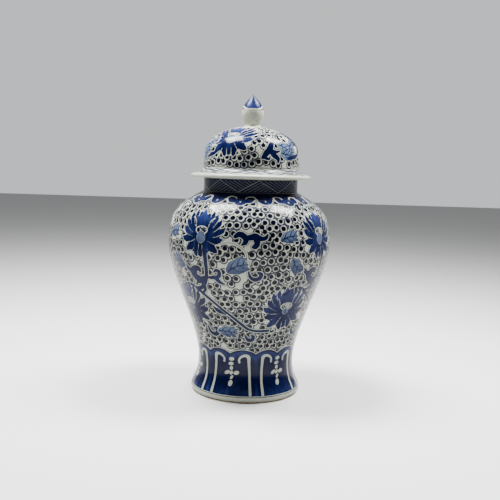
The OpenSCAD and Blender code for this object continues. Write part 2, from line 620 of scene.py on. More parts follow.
@dataclass(frozen=True)
class FrogSpawn:
    """The ground: dots in rings, packed in clusters round the flowers, a little closer lower down."""

    low: float
    high: float
    close: float
    wide: float
    seed: int
    gaps: float = 0.02

    def centres(self, canvas: Canvas) -> list:
        """Places for the rings, spaced as a hand would.

        Args:
            canvas: the canvas that they go on.

        Returns:
            A row for each ring: angle, run, radius, and how far its dot is off its middle.
        """
        rng = np.random.default_rng(self.seed)
        run, stop = canvas.run_at(self.low), canvas.run_at(self.high)
        rise = stop - run
        places = []
        row = 0
        while run < stop + 1.0:
            spacing = self.wide + (self.close - self.wide) * max(0.0, 2.2 * (stop - run) / rise - 1.2)
            radius = float(np.interp(run, canvas.run, canvas.radius))
            count = int(2 * math.pi * radius / spacing)
            nudge = rng.uniform(-0.13, 0.13, (count, 2)) * spacing
            size = rng.uniform(0.94, 1.08, count)
            keep = rng.random(count)
            for j in range(count):
                angle = (j + 0.5 * (row % 2)) * 360.0 / count + math.degrees(nudge[j, 0] / radius)
                at = run + nudge[j, 1] + 0.22 * spacing * math.sin(math.radians(angle * 7 + row * 40))
                lane = math.sin(math.radians(angle * 5) + at * 0.071)
                lane += math.sin(at * 0.16 - math.radians(angle * 3))
                if keep[j] > self.gaps and abs(lane) > 0.05:
                    places.append((angle, at, 0.5 * spacing * size[j], nudge[(j * 7 + 3) % count] * 0.4))
            run += spacing * 0.87
            row += 1
        return places

    def draw(self, canvas: Canvas) -> None:
        """Marks each point's distance to the nearest ring and dot, scaled so that all rings are alike.

        Args:
            canvas: the canvas that takes them, with the flowers already painted.
        """
        filled = canvas.filled()
        for angle, run, ring, off in self.centres(canvas):
            row = int(np.argmin(np.abs(canvas.run - run)))
            col = int(round(angle / 360.0 * canvas.columns)) % canvas.columns
            if filled[row, col] > -0.3:
                continue
            reach = ring * 1.5
            rows = np.flatnonzero(np.abs(canvas.run - run) < reach)
            half = int(reach / (canvas.mm_per_degree[row, 0] * 360.0 / canvas.columns)) + 1
            cols = np.arange(col - half, col + half + 1) % canvas.columns
            offset = (canvas.angle[cols] - angle + 180.0) % 360.0 - 180.0
            x, y = offset[None, :] * canvas.mm_per_degree[rows], (canvas.run[rows] - run)[:, None]
            cell = (rows[:, None], cols[None, :])
            canvas.spawn[cell] = np.minimum(canvas.spawn[cell], np.hypot(x, y) * RING / ring)
            aside = np.hypot(x + 0.35 - off[0], y - 0.45 - off[1])
            canvas.eye[cell] = np.minimum(canvas.eye[cell], aside * RING / ring)


@dataclass(frozen=True)
class VineRepeat:
    """A quarter of the scrolling vine: one upper flower, one lower flower and what lies between them."""

    turn: float
    seed: int

    def draw(self, canvas: Canvas) -> None:
        """Paints this quarter.

        Args:
            canvas: the canvas of the jar.
        """
        a = self.turn
        stem = ((-30, 228), (-29.5, 208), (-30, 194), (-32, 183), (-36, 174), (-42, 171))
        main = ((-61, 166), (-56, 173), (-50, 176), (-44, 173.5), (-37, 165), (-30, 155.5), (-22.8, 145.2),
                (-15, 135), (-8, 125.7), (-3, 119), (1, 114.3), (6, 111.5), (12, 110.4), (21.5, 110.8))
        hook = ((-0.2, 216), (0.1, 209), (0.6, 201), (1.9, 194.3), (5.0, 191.1), (8.2, 193.6), (9.0, 199.2),
                (6.8, 201.5))
        left = ((-31, 190), (-35, 186), (-39, 188), (-42, 195), (-40, 201), (-36, 202), (-35, 198))
        left_up = ((-40, 196), (-45, 199), (-49, 205), (-53, 204))
        right = ((-30.9, 191.4), (-27.4, 190.3), (-23.4, 191.1), (-20.8, 186.0), (-16.6, 181.6))
        right_up = ((-23.6, 190.0), (-20.4, 194.0), (-19.9, 200.0), (-22.1, 202.2), (-24.0, 198.8))
        curl_low = ((-36, 166), (-33, 172), (-34, 180), (-39, 181), (-41, 177))
        sprig = ((-29.5, 147.0), (-24.9, 139.9), (-18.5, 134.8))
        foot_curl = ((-40, 112), (-38, 104), (-33, 101), (-29, 105), (-30, 111), (-33, 111))
        end_curl = ((-1.0, 103.0), (2.2, 96.4), (6.0, 96.4), (7.2, 101.3), (4.6, 103.9))
        for points, widths in (
                (stem, (2.1, 1.8, 1.8, 2.0, 1.5)), (main, (1.0, 1.6, 1.5, 1.2, 1.4, 1.2, 1.3)),
                (hook, (0.6, 0.65, 0.8, 1.4, 1.9, 1.9, 1.7, 1.0)), (left, (1.8, 3.4, 3.2, 2.6, 1.3)),
                (left_up, (2.6, 1.8, 0.8)), (right, (0.9, 1.3, 2.1, 1.8, 0.7)),
                (right_up, (1.5, 1.9, 1.7, 1.4, 0.7)),
                (curl_low, (1.2, 1.3, 1.2, 0.9)), (sprig, (0.5, 2.1, 0.6)),
                (foot_curl, (1.0, 1.7, 2.2, 1.8, 0.9)), (end_curl, (0.9, 1.7, 1.9, 1.5, 0.7))):
            canvas.trail(Coat.INK, moved(points, a), [w * 1.75 for w in widths], 0.18)
        arc = moved(((-19, 240), (-13, 242.5), (-7.4, 239.5), (-3, 233), (-1.2, 226), (-1.2, 218)), a)
        canvas.trail(Coat.RESERVE, arc, [0.9, 1.3, 1.2])
        canvas.trail(Coat.LINE, arc, [0.45, 0.6, 0.5])
        for path, widths in (
                (((-23.3, 1.8), (-17.8, 5.1), (-11.8, 2.9), (-8.5, -1.5), (-9.6, -6.5), (-15.1, -10.3)),
                 (3.0, 4.1, 4.4, 4.2, 3.4, 0.8)),
                (((-9, 0), (-1.3, 1.2), (4.2, 2.9), (9.7, 0.7), (15.2, -0.4), (19.6, 1.2), (22, 5.4)),
                 (3.4, 4.4, 4.5, 3.9, 3.2, 2.9, 1.5)),
                (((4.5, 1.5), (6.9, -3.7), (7.3, -8.1), (4.4, -11.6), (1.4, -12.0)),
                 (4.3, 4.4, 4.2, 3.8, 2.0))):
            Cloud(a + 2, 250, path, widths).draw(canvas)
        Leaf(a - 62, 250, 30, 18, 12, 2.5).draw(canvas)
        Leaf(a - 55, 211, 30, 18, -48, -3.0, 0.18).draw(canvas)
        Leaf(a - 6.8, 207, 34, 21, 22, 3.0, 0.26).draw(canvas)
        Leaf(a - 18, 107, 32, 18, -3, 1.0).draw(canvas)
        Flower(a - 33.5, 252, 34.5, seed=self.seed).draw(canvas)
        Flower(a + 34.5, 143, 34.5, lean=8, seed=self.seed + 50, calyx=0.6).draw(canvas)


@dataclass(frozen=True)
class CloudCollar:
    """Band of hanging cloud heads round the shoulder, with white curls and a fine blue border."""

    repeats: int = 8
    first: float = -8.5
    low: float = 293.5
    band: float = 302.0

    def draw(self, canvas: Canvas) -> None:
        """Paints the collar.

        Args:
            canvas: the canvas of the jar.
        """
        patch = canvas.whole()
        top, low = canvas.run_at(self.band), canvas.run_at(self.low)
        inside = np.minimum(patch.y - top, FAR)
        pitch = 360.0 / self.repeats
        windows = []
        for k in range(self.repeats):
            head = canvas.window(self.first + k * pitch, self.band, 34.0)
            plain = canvas.window(self.first + (k + 0.5) * pitch, self.band, 30.0)
            windows.append((head, plain))
            fall = top - low
            for part, shapes in (
                    (head, ((0, -fall + 12.5, 10.5, 12.5), (-11.8, 0.5, 9.0, 10.0), (11.8, 0.5, 9.0, 10.0))),
                    (plain, ((0, -fall + 14.0, 11.0, 11.5),))):
                for x, y, w, h in shapes:
                    part.lay(Coat.INK, part.oval(x, y, w, h), 0.25)
        patch.lay(Coat.INK, inside, 0.15)
        ink = canvas.coats[Coat.INK]
        reach = (patch.y < top + 2.0) & (patch.y > low - 8.0)
        border = np.where(reach, 0.5 - np.abs(ink + 2.9), -FAR)
        halo = np.where(reach, 1.0 - np.abs(ink + 5.6), -FAR)
        patch.lay(Coat.LINE, np.maximum(border, halo - 1.0))
        hook = [(-18.6, -6), (-20.5, 0), (-18.5, 5.0), (-13.0, 6.8), (-8.0, 4.5), (-6.8, 0.8)]
        for head, plain in windows:
            for side in (-1, 1):
                path = flowing([(x * side, y) for x, y in hook])
                half = np.interp(np.linspace(0, 1, len(path)), (0, 0.3, 0.7, 1), (0.8, 1.35, 1.25, 0.85))
                head.lay(Coat.RESERVE, head.stroke(path, half))
            head.lay(Coat.RESERVE, head.oval(0, -6.5, 1.0, 1.7))
            plain.lay(Coat.RESERVE, plain.oval(0, -4.5, 1.1, 1.8))


@dataclass(frozen=True)
class HatchedNeck:
    """Dark band round the neck: a zigzag with each of its triangles hatched along one side."""

    low: float = 311.5
    high: float = 328.3
    peaks: tuple = (-86.0, -38.0, 10.0, 59.0, 110.0, 161.0, 218.0)
    pitch: float = 3.5
    fine: float = 0.38

    def draw(self, canvas: Canvas) -> None:
        """Paints the band.

        Args:
            canvas: the canvas of the jar.
        """
        patch = canvas.whole()
        y = canvas.height[:, None] - self.low + np.zeros_like(patch.x)
        rise = self.high - self.low
        # The band is laid at a shade of -1, so its ink turns slate and its white lines dim: painted shade of
        # the brim on top of the dark paint.
        patch.lay(Coat.INK, np.minimum(y + 2.6, rise + 1.6 - y), -1.0)
        corners = list(self.peaks) + [self.peaks[0] + 360.0]
        for left, right in zip(corners[:-1], corners[1:]):
            valley = (left + right) / 2
            half = (right - left) / 2 * canvas.radius_at(self.low) * math.pi / 180.0
            long = math.hypot(half, rise)
            for middle, under in ((valley, False), (right, True)):
                offset = ((canvas.angle - middle + 180.0) % 360.0 - 180.0)[None, :] * canvas.mm_per_degree
                side = rise * (1 + offset / half) if under else -rise * offset / half
                zigzag = rise * (1 - np.abs(offset) / half) if under else rise * np.abs(offset) / half
                beyond = (side - y if under else y - side) * half / long
                inside = (zigzag - y if under else y - zigzag) * half / long
                area = np.minimum(np.minimum(y, rise - y), inside)
                hatch = self.fine - np.abs(beyond - np.round(beyond / self.pitch) * self.pitch)
                patch.lay(Coat.RESERVE, np.minimum(hatch, area - 0.5))
                patch.lay(Coat.RESERVE, np.minimum(0.52 - np.abs(inside), np.minimum(y, rise - y)))
        for edge in (-1.1, rise + 0.9):
            patch.lay(Coat.RESERVE, 0.30 - np.abs(y - edge))


@dataclass(frozen=True)
class Skirt:
    """Band of arches over the foot, each with a white crook, and strings of white beads between them."""

    low: float = 11.0
    notch: float = 73.0
    top: float = 79.5
    beads: tuple = (-72.0, -16.0, 39.5, 98.0, 158.0, 220.0)

    def arches(self, canvas: Canvas, patch: Patch) -> Grid:
        """Depth inside the row of arches.

        Args:
            canvas: the canvas of the jar.
            patch: a window over the whole of it.

        Returns:
            Depth in mm at every point of the window, negative outside the arches.
        """
        depth = np.full(patch.x.shape, -FAR)
        rise = canvas.run_at(self.top) - canvas.run_at(self.notch)
        ends = list(self.beads) + [self.beads[0] + 360.0]
        for left, right in zip(ends[:-1], ends[1:]):
            corners = (left - 1.5, (left + right) / 2, right - 1.5)
            for a, b in zip(corners[:-1], corners[1:]):
                half = (b - a) / 2 * canvas.radius_at(self.notch) * math.pi / 180.0
                bow = (half * half + rise * rise) / (2 * rise)
                offset = ((canvas.angle - (a + b) / 2 + 180.0) % 360.0 - 180.0)[None, :]
                x = offset * canvas.mm_per_degree
                y = patch.y - (canvas.run_at(self.top) - bow)
                arch = np.where(y > 0, bow - np.hypot(x, y), bow - np.abs(x))
                depth = np.maximum(depth, arch)
        return depth

    def draw(self, canvas: Canvas) -> None:
        """Paints the skirt and the line over the white foot.

        Args:
            canvas: the canvas of the jar.
        """
        patch = canvas.whole()
        arches = self.arches(canvas, patch)
        inside = np.minimum(arches, patch.y - canvas.run_at(self.low))
        band = np.clip((arches - 1.2) / 2.5, 0, 1) * np.clip((13.0 - arches) / 6.0, 0, 1)
        foot = np.clip(1.0 - (patch.y - canvas.run_at(14.0)) / 16.0, 0, 1)
        patch.lay(Coat.INK, inside, 0.55 * band + 0.30 * foot)
        patch.lay(Coat.LINE, 0.45 - np.abs(patch.y - canvas.run_at(self.low - 1.8)))
        leg = ((-20.4, 13), (-20.4, 36), (-19.8, 58), (-19.2, 68.0), (-16.0, 70.6), (-11.6, 69.0),
               (-8.6, 64.5), (-8.8, 60.0))
        half = (2.1, 1.7, 1.9, 2.6, 2.0, 1.6, 1.35, 1.6)
        string = ((0.3, 64.5, 3.9, 2.8, 8), (-0.6, 57.0, 3.9, 2.6, 8), (-0.1, 50.2, 2.6, 2.9, -20),
                  (0.1, 43.2, 2.3, 3.2, -35), (-5.2, 43.4, 4.3, 2.6, 30), (6.3, 43.6, 4.3, 2.9, 18),
                  (0.8, 36.6, 1.9, 3.4, -32), (-0.2, 28.0, 3.2, 4.6, -14))
        for bead in self.beads:
            for side, lean in ((-1, 0.0), (1, 1.8)):
                path = [(bead - side * a + lean * (1 - z / 80.0), z) for a, z in leg]
                canvas.trail(Coat.RESERVE, path, list(half))
            for across, height, wide, tall, tilt in string:
                spot = canvas.window(bead + across * 0.95, height, 9.0)
                if spot is not None:
                    spot.lay(Coat.RESERVE, spot.oval(0, 0, wide, tall, tilt))


@dataclass(frozen=True)
class LidRepeat:
    """A third of the painting on the dome: a flower by the crown, a stem, a scroll and a pale leaf spray."""

    turn: float
    seed: int

    def draw(self, canvas: Canvas) -> None:
        """Paints this third.

        Args:
            canvas: the canvas of the lid.
        """
        a = self.turn
        for points, widths, shade in (
                (((-72, 362), (-60, 364), (-50, 367), (-41, 372)), (2.0, 3.4, 2.8, 1.2), 0.2),
                (((13, 362), (17, 368), (22, 375), (25, 383), (28, 385)), (2.6, 4.6, 5.0, 3.6, 1.2), 0.06),
                (((22, 374), (27, 366), (32, 361), (32, 355)), (4.2, 4.4, 3.6, 1.2), 0.06),
                (((25, 371), (32, 371), (38, 374)), (3.0, 1.8, 0.7), 0.1),
                (((14, 363), (20, 360), (22, 364)), (2.6, 1.8, 0.9), 0.1)):
            canvas.trail(Coat.INK, moved(points, a), list(widths), shade)
        Leaf(a + 42, 376, 24, 15, -30, 2.0, 0.3, 0.8).draw(canvas)
        Leaf(a + 47, 369, 26, 15, -4, -2.0, 0.34, 0.6).draw(canvas)
        Leaf(a + 54, 375, 22, 13, -52, 2.0, 0.3, 0.9).draw(canvas)
        Leaf(a + 63, 384, 24, 12, 24, 2.0, 0.2, 0.8).draw(canvas)
        Flower(a - 29, 391, 33.0, lean=4, seed=self.seed).draw(canvas)


@dataclass(frozen=True)
class BrimClouds:
    """Fine pale scribble of cloud lines on the brim, under a blue line at the foot of the dome."""

    dome_z: float

    def draw(self, canvas: Canvas) -> None:
        """Paints the lines.

        Args:
            canvas: the canvas of the lid.
        """
        patch = canvas.whole()
        foot = canvas.run_at(self.dome_z + 0.8)
        patch.lay(Coat.LINE, 0.5 - np.abs(patch.y - foot))
        turn = np.radians(canvas.angle)[None, :]
        for drop, swing, waves, start in ((2.8, 0.8, 26, 0.4), (5.0, 1.1, 21, 0.0), (7.4, 1.4, 17, 1.3),
                                          (9.8, 1.0, 29, 2.8), (12.2, 1.2, 23, 2.1), (15.0, 1.5, 19, 0.7)):
            wave = swing * (np.abs(np.sin(turn * waves / 2 + start)) * 2 - 1)
            wave = wave + 0.5 * np.sin(turn * 7 + start * 3)
            gap = 0.42 * np.sin(turn * 5 + drop) + 0.1 * np.sin(turn * 31 + drop)
            patch.lay(Coat.WASH, np.minimum(0.6 - np.abs(patch.y - foot + drop + wave), 0.6 + gap), 0.7)


@dataclass(frozen=True)
class BudPetals:
    """Blue petals over the upper half of the bud, parted by white edges."""

    low: float
    petals: int = 2

    def draw(self, canvas: Canvas) -> None:
        """Paints the petals.

        Args:
            canvas: the canvas of the bud.
        """
        patch = canvas.whole()
        pitch = 360.0 / self.petals
        off = np.abs((canvas.angle + pitch / 2) % pitch - pitch / 2)[None, :]
        z = canvas.height[:, None] - self.low + np.zeros_like(patch.x)
        edge = 6.5 * np.clip((off - 22.0) / 68.0, 0, 1) ** 1.2
        rib = np.exp(-(off / 15.0) ** 2) * np.clip(1.0 - np.abs(z - 11.0) / 9.0, 0, 1)
        patch.lay(Coat.INK, z - 0.3, 0.40 - 0.34 * rib - 0.3 * np.clip(1.5 - z, 0, 1))
        patch.lay(Coat.RESERVE, np.minimum(1.0 - np.abs(z - edge) * 0.75, z - 0.2))


# ---------------------------------------------------------------- throwing and luting

@dataclass
class Thrown:
    """One thrown section: an outline turned about the axis of the jar.

    The outline runs up the outer skin, across the top, down the lining and back along the bottom.
    """

    name: str
    body: str
    node: str
    slot: str
    skin: Grid
    rest: Grid
    columns: int
    bare: tuple = ()
    piece: bpy.types.Object | None = None

    def profile(self) -> Grid:
        """The whole outline, skin first."""
        return joined(self.skin, self.rest)

    def trace(self, points: Grid) -> None:
        """Draws an outline in edit mode by extruding one corner from point to point.

        Args:
            points: the outline, as (radius, height) rows in mm.
        """
        bpy.ops.mesh.primitive_plane_add(size=MM, location=(points[0, 0] * MM, 0.0, points[0, 1] * MM))
        bpy.ops.object.transform_apply(location=True, rotation=True, scale=True)
        bpy.ops.object.mode_set(mode="EDIT")
        bpy.ops.mesh.select_all(action="SELECT")
        bpy.ops.mesh.merge(type="CENTER")
        for (r0, z0), (r1, z1) in zip(points[:-1], points[1:]):
            step = ((r1 - r0) * MM, 0.0, (z1 - z0) * MM)
            bpy.ops.mesh.extrude_region_move(TRANSFORM_OT_translate={"value": step})
        bpy.ops.mesh.select_all(action="SELECT")
        bpy.ops.mesh.remove_doubles(threshold=0.01 * MM)
        bpy.ops.mesh.select_all(action="SELECT")

    def throw(self) -> bpy.types.Object:
        """Turns the outline into a closed section.

        Returns:
            The new object, at the origin and unturned.
        """
        points = self.profile()
        bpy.ops.object.select_all(action="DESELECT")
        self.trace(np.vstack([points, points[:1]]))
        bpy.ops.object.mode_set(mode="OBJECT")
        bpy.ops.object.modifier_add(type="SCREW")
        wheel = bpy.context.view_layer.objects.active.modifiers["Screw"]
        wheel.axis, wheel.angle = "Z", 2 * math.pi
        wheel.steps = wheel.render_steps = self.columns
        wheel.use_merge_vertices, wheel.merge_threshold = True, 0.01 * MM
        bpy.ops.object.modifier_apply(modifier=wheel.name)
        bpy.ops.object.mode_set(mode="EDIT")
        bpy.ops.mesh.select_all(action="SELECT")
        bpy.ops.mesh.remove_doubles(threshold=0.02 * MM)
        bpy.ops.mesh.normals_make_consistent(inside=False)
        bpy.ops.object.mode_set(mode="OBJECT")
        self.piece = bpy.context.view_layer.objects.active
        self.piece.name = self.name
        self.piece.data.name = self.name
        bpy.ops.object.shade_smooth_by_angle(angle=math.radians(38))
        return self.piece

    def rows_and_columns(self) -> tuple:
        """Finds where each point of the mesh lies on the outline.

        Returns:
            Each point's row on the outline, and its column round the jar.
        """
        mesh = self.piece.data
        at = np.empty(len(mesh.vertices) * 3)
        mesh.vertices.foreach_get("co", at)
        at = at.reshape(-1, 3) / MM
        radius = np.hypot(at[:, 0], at[:, 1])
        profile = self.profile()
        row = np.empty(len(at), int)
        for start in range(0, len(at), 20000):
            part = slice(start, start + 20000)
            away = (np.abs(radius[part, None] - profile[None, :, 0])
                    + np.abs(at[part, 2][:, None] - profile[None, :, 1]))
            row[part] = away.argmin(axis=1)
        angle = np.degrees(np.arctan2(at[:, 0], -at[:, 1])) % 360.0
        column = np.round(angle / 360.0 * self.columns).astype(int) % self.columns
        return row, column

    def paint(self, canvas: Canvas | None, first_row: int) -> None:
        """Carries the painting from the canvas to the section, point by point.

        Args:
            canvas: the canvas, or None for a section that has no painting.
            first_row: the canvas row where this section's skin begins.
        """
        row, column = self.rows_and_columns()
        skin = row < len(self.skin)
        mesh = self.piece.data
        layers = {name: np.full(len(row), -DEEP) for name in [coat.value for coat in Coat] + ["bare"]}
        layers["shade"] = np.zeros(len(row))
        layers["spawn"] = np.full(len(row), NO_RING)
        layers["eye"] = np.full(len(row), NO_RING)
        if canvas is not None:
            where = (first_row + row[skin], column[skin])
            for coat in Coat:
                layers[coat.value][skin] = np.clip(canvas.coats[coat][where], -DEEP, DEEP)
            layers["shade"][skin] = canvas.shade[where]
            layers["spawn"][skin] = canvas.spawn[where]
            layers["eye"][skin] = canvas.eye[where]
        for low, high in self.bare:
            layers["bare"][(row >= low) & (row <= high)] = DEEP
        for name, values in layers.items():
            attribute = mesh.attributes.new(name, "FLOAT", "POINT")
            attribute.data.foreach_set("value", values.astype(np.float32))

    def finish(self, material: bpy.types.Material) -> None:
        """Glazes the section, stands it for its CAD node and lets it ride on its body.

        Args:
            material: the glaze.
        """
        self.piece.data.materials.clear()
        self.piece.data.materials.append(material)
        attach(self.piece, self.body)
        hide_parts(self.node)
        log.info("%s: %d faces, rides on %s", self.name, len(self.piece.data.polygons), self.body)

    def make(self, canvas: Canvas | None, first_row: int, material: bpy.types.Material) -> "Thrown":
        """Throws, paints and glazes the section.

        Args:
            canvas: the canvas with its painting, or None if it has none.
            first_row: the canvas row where its skin begins.
            material: the glaze.

        Returns:
            The section itself.
        """
        self.throw()
        self.paint(canvas, first_row)
        self.finish(material)
        return self


# ---------------------------------------------------------------- glazes

class Nodes:
    """Short hand for wiring a node tree."""

    def __init__(self, tree: bpy.types.NodeTree) -> None:
        """Takes the tree that the nodes go in."""
        self.tree = tree

    def new(self, kind: str, **values: object) -> bpy.types.Node:
        """Adds a node.

        Args:
            kind: the node's type.
            values: properties to set on it.

        Returns:
            The new node.
        """
        node = self.tree.nodes.new(kind)
        for key, value in values.items():
            setattr(node, key, value)
        return node

    def feed(self, socket: bpy.types.NodeSocket, value: object) -> None:
        """Links an output to a socket, or sets the socket's own value.

        Args:
            socket: the input to feed.
            value: an output socket, a number or a colour.
        """
        if isinstance(value, bpy.types.NodeSocket):
            self.tree.links.new(value, socket)
        else:
            socket.default_value = value

    def sum(self, operation: str, a: object, b: object = 0.0, clamp: bool = False) -> bpy.types.NodeSocket:
        """Adds one Math node.

        Args:
            operation: what it does.
            a, b: its two inputs.
            clamp: whether the result is kept between 0 and 1.

        Returns:
            Its output.
        """
        node = self.new("ShaderNodeMath", operation=operation, use_clamp=clamp)
        self.feed(node.inputs[0], a)
        self.feed(node.inputs[1], b)
        return node.outputs[0]

    def ramp(self, value: object, low: float, high: float, to_low: float = 0.0,
             to_high: float = 1.0) -> bpy.types.NodeSocket:
        """Carries a value smoothly from one range to another.

        Args:
            value: the value.
            low, high: the range that it comes from.
            to_low, to_high: the range that it goes to.

        Returns:
            The output.
        """
        node = self.new("ShaderNodeMapRange", interpolation_type="SMOOTHSTEP")
        self.feed(node.inputs["Value"], value)
        for name, number in (("From Min", low), ("From Max", high), ("To Min", to_low), ("To Max", to_high)):
            self.feed(node.inputs[name], number)
        return node.outputs["Result"]

    def mix(self, amount: object, a: object, b: object) -> bpy.types.NodeSocket:
        """Mixes two colours.

        Args:
            amount: how much of the second one there is.
            a, b: the colours.

        Returns:
            The output.
        """
        node = self.new("ShaderNodeMix", data_type="RGBA")
        self.feed(node.inputs[0], amount)
        self.feed(node.inputs[6], a)
        self.feed(node.inputs[7], b)
        return node.outputs[2]

    def noise(self, place: object, size_mm: float, detail: float = 3.0, rough: float = 0.5,
              stretch: tuple | None = None) -> bpy.types.NodeSocket:
        """Adds cloudy noise.

        Args:
            place: the coordinates that it lies on, in metres.
            size_mm: about how far apart its clouds are.
            detail: how many finer layers it has.
            rough: how strong they are.
            stretch: scale of the coordinates on each axis, if it isn't even.

        Returns:
            The output, about 0.5 on average.
        """
        if stretch:
            mapping = self.new("ShaderNodeMapping")
            self.feed(mapping.inputs["Vector"], place)
            mapping.inputs["Scale"].default_value = stretch
            place = mapping.outputs[0]
        node = self.new("ShaderNodeTexNoise")
        self.feed(node.inputs["Vector"], place)
        node.inputs["Scale"].default_value = 1000.0 / size_mm
        node.inputs["Detail"].default_value = detail
        node.inputs["Roughness"].default_value = rough
        return node.outputs["Fac"]


def brush_edge_group() -> bpy.types.ShaderNodeTree:
    """Group that turns a depth inside a brush mark into how much of its paint shows.

    Returns:
        A group with inputs Depth, Bleed, Wobble and Place, and the output Mask.
    """
    tree = bpy.data.node_groups.new("brush_edge", "ShaderNodeTree")
    for name, kind in (("Depth", "NodeSocketFloat"), ("Bleed", "NodeSocketFloat"),
                       ("Wobble", "NodeSocketFloat"), ("Place", "NodeSocketVector")):
        tree.interface.new_socket(name, in_out="INPUT", socket_type=kind)
    tree.interface.new_socket("Mask", in_out="OUTPUT", socket_type="NodeSocketFloat")
    n = Nodes(tree)
    ins, out = n.new("NodeGroupInput"), n.new("NodeGroupOutput")
    shake = n.sum("SUBTRACT", n.noise(ins.outputs["Place"], 2.4, 2.0), 0.5)
    depth = n.sum("ADD", ins.outputs["Depth"], n.sum("MULTIPLY", shake, ins.outputs["Wobble"]))
    node = n.new("ShaderNodeMapRange", interpolation_type="SMOOTHSTEP")
    n.feed(node.inputs["Value"], depth)
    n.feed(node.inputs["From Min"], n.sum("MULTIPLY", ins.outputs["Bleed"], -1.0))
    n.feed(node.inputs["From Max"], ins.outputs["Bleed"])
    n.feed(out.inputs["Mask"], node.outputs["Result"])
    return tree


def fired_skin_group() -> bpy.types.ShaderNodeTree:
    """Group for what firing leaves on any glaze: ripple and iron specks.

    Returns:
        A group with inputs Place, Ripple, Specks and Rings, and outputs Height, Speck and Pool.
    """
    tree = bpy.data.node_groups.new("fired_skin", "ShaderNodeTree")
    for name, kind in (("Place", "NodeSocketVector"), ("Ripple", "NodeSocketFloat"),
                       ("Specks", "NodeSocketFloat"), ("Rings", "NodeSocketFloat")):
        tree.interface.new_socket(name, in_out="INPUT", socket_type=kind)
    for name in ("Height", "Speck", "Pool"):
        tree.interface.new_socket(name, in_out="OUTPUT", socket_type="NodeSocketFloat")
    n = Nodes(tree)
    ins, out = n.new("NodeGroupInput"), n.new("NodeGroupOutput")
    place = ins.outputs["Place"]
    swell = n.sum("MULTIPLY", n.noise(place, 16.0, 2.0), 0.7)
    peel = n.sum("MULTIPLY", n.noise(place, 3.0, 2.0), 0.22)
    rings = n.sum("MULTIPLY", n.noise(place, 7.0, 2.0, 0.5, (0.04, 0.04, 1.0)), ins.outputs["Rings"])
    ripple = n.sum("MULTIPLY", n.sum("ADD", swell, peel), ins.outputs["Ripple"])
    n.feed(out.inputs["Height"], n.sum("ADD", ripple, rings))
    grain = n.noise(place, 1.5, 1.0)
    n.feed(out.inputs["Speck"], n.sum("MULTIPLY", n.ramp(grain, 0.78, 0.86), ins.outputs["Specks"]))
    n.feed(out.inputs["Pool"], n.noise(place, 60.0, 3.0))
    return tree


def bare_clay_group() -> bpy.types.ShaderNodeTree:
    """Group for clay that was wiped before firing, toasted to a rusty brown in patches.

    Returns:
        A group with the input Place and the output Colour.
    """
    tree = bpy.data.node_groups.new("bare_clay", "ShaderNodeTree")
    tree.interface.new_socket("Place", in_out="INPUT", socket_type="NodeSocketVector")
    tree.interface.new_socket("Colour", in_out="OUTPUT", socket_type="NodeSocketColor")
    n = Nodes(tree)
    ins, out = n.new("NodeGroupInput"), n.new("NodeGroupOutput")
    clay, burnt = (0.50, 0.40, 0.30, 1.0), (0.33, 0.19, 0.10, 1.0)
    toasted = n.ramp(n.noise(ins.outputs["Place"], 5.0, 4.0, 0.6), 0.35, 0.65)
    n.feed(out.inputs["Colour"], n.mix(toasted, clay, burnt))
    return tree


@dataclass(frozen=True)
class Kiln:
    """The effects that every glaze shares."""

    edge: bpy.types.ShaderNodeTree = field(default_factory=brush_edge_group)
    skin: bpy.types.ShaderNodeTree = field(default_factory=fired_skin_group)
    clay: bpy.types.ShaderNodeTree = field(default_factory=bare_clay_group)

    def masked(self, n: Nodes, place: object, depth: object, bleed: float, wobble: float) -> object:
        """Turns the depth inside a mark into how much of it shows.

        Args:
            n: the material's nodes.
            place: its coordinates.
            depth: depth inside the mark in mm.
            bleed: half the width over which its edge fades, in mm.
            wobble: how unsteady the edge is, in mm.

        Returns:
            The mask.
        """
        group = n.new("ShaderNodeGroup", node_tree=self.edge)
        n.feed(group.inputs["Depth"], depth)
        n.feed(group.inputs["Place"], place)
        group.inputs["Bleed"].default_value = bleed
        group.inputs["Wobble"].default_value = wobble
        return group.outputs["Mask"]

    def fired(self, n: Nodes, place: object, ripple: float, specks: float, rings: float) -> bpy.types.Node:
        """Adds what firing leaves on a glaze.

        Args:
            n: the material's nodes.
            place: its coordinates.
            ripple: strength of the swell and orange peel.
            specks: strength of the iron specks.
            rings: strength of the throwing rings.

        Returns:
            The group node, with outputs Height, Speck and Pool.
        """
        group = n.new("ShaderNodeGroup", node_tree=self.skin)
        n.feed(group.inputs["Place"], place)
        for name, strength in (("Ripple", ripple), ("Specks", specks), ("Rings", rings)):
            group.inputs[name].default_value = strength
        return group

    def wiped(self, n: Nodes, place: object) -> object:
        """Adds the bare clay.

        Args:
            n: the material's nodes.
            place: its coordinates.

        Returns:
            Its colour.
        """
        group = n.new("ShaderNodeGroup", node_tree=self.clay)
        n.feed(group.inputs["Place"], place)
        return group.outputs["Colour"]


